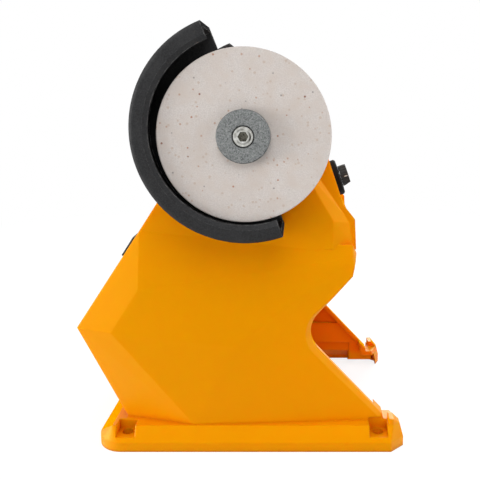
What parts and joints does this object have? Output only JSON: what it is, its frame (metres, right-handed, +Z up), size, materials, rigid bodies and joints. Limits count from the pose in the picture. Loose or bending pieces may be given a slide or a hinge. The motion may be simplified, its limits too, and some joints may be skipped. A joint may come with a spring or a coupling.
{
  "type": "bench grinder",
  "caption": "Compact battery-powered bench grinder: faceted plastic stand, motor spindle with a grinding wheel and half guard at each end, speed knob and bench holes.",
  "frame": {"origin": "middle of the four bench holes, on the bench surface", "axes": "+X from the rear ridge towards the speed knob, +Y along the spindle away from the pictured side, +Z up"},
  "size_m": [0.1574, 0.1412, 0.1998],
  "materials": {
    "housing_plastic": "amber moulded plastic, satin",
    "guard_plastic": "charcoal moulded plastic, fine grain",
    "knob_plastic": "dark moulded plastic",
    "wheel_abrasive": "white fused alumina, fine grit with brown specks",
    "washer_metal": "turned, zinc grey",
    "steel": "bright plated steel",
    "motor_steel": "plated",
    "magnet": "sintered ferrite",
    "copper": "copper",
    "carbon": "pressed carbon",
    "inner_plastic": "black moulded plastic",
    "circuit_board": "solder mask"
  },
  "bodies": {
    "stand": {"housing_near": "housing_plastic", "housing_far": "housing_plastic", "guard_near": "guard_plastic", "guard_far": "guard_plastic", "rear_grille": "guard_plastic", "dial_ring": "knob_plastic", "housing_screws": "steel", "guard_screws_near": "steel", "guard_screws_far": "steel", "bearing_outer_near": "steel", "bearing_outer_far": "steel", "control_nut": "steel", "motor_can": "motor_steel", "motor_end_near": "motor_steel", "motor_end_far": "motor_steel", "motor_magnets": "magnet", "battery_terminals": "copper", "brushes": "carbon", "brush_holders": "inner_plastic", "speed_control": "inner_plastic", "board_parts": "inner_plastic", "battery_dock": "inner_plastic", "terminal_block": "inner_plastic", "control_board": "circuit_board"},
    "spindle": {"motor_shaft": "steel", "armature_core": "motor_steel", "armature_windings": "copper", "commutator": "copper", "motor_fan": "inner_plastic", "bearing_inner_near": "steel", "bearing_inner_far": "steel", "inner_flange_near": "washer_metal", "inner_flange_far": "washer_metal", "wheel_near": "wheel_abrasive", "wheel_far": "wheel_abrasive", "washer_near": "washer_metal", "washer_far": "washer_metal", "wheel_screw_near": "steel", "wheel_screw_far": "steel"},
    "knob": {"control_shaft": "steel", "speed_knob": "knob_plastic"}
  },
  "joints": [
    {"name": "spindle_spin", "type": "hinge", "parent": "stand", "child": "spindle", "pos_m": [-0.001, 0, 0.1519], "axis": [0, 1, 0], "continuous": true},
    {"name": "knob_turn", "type": "hinge", "parent": "stand", "child": "knob", "pos_m": [0.04132, 0, 0.125], "axis": [0.9483, 0, 0.3173], "range_deg": [-140, 140]}
  ]
}
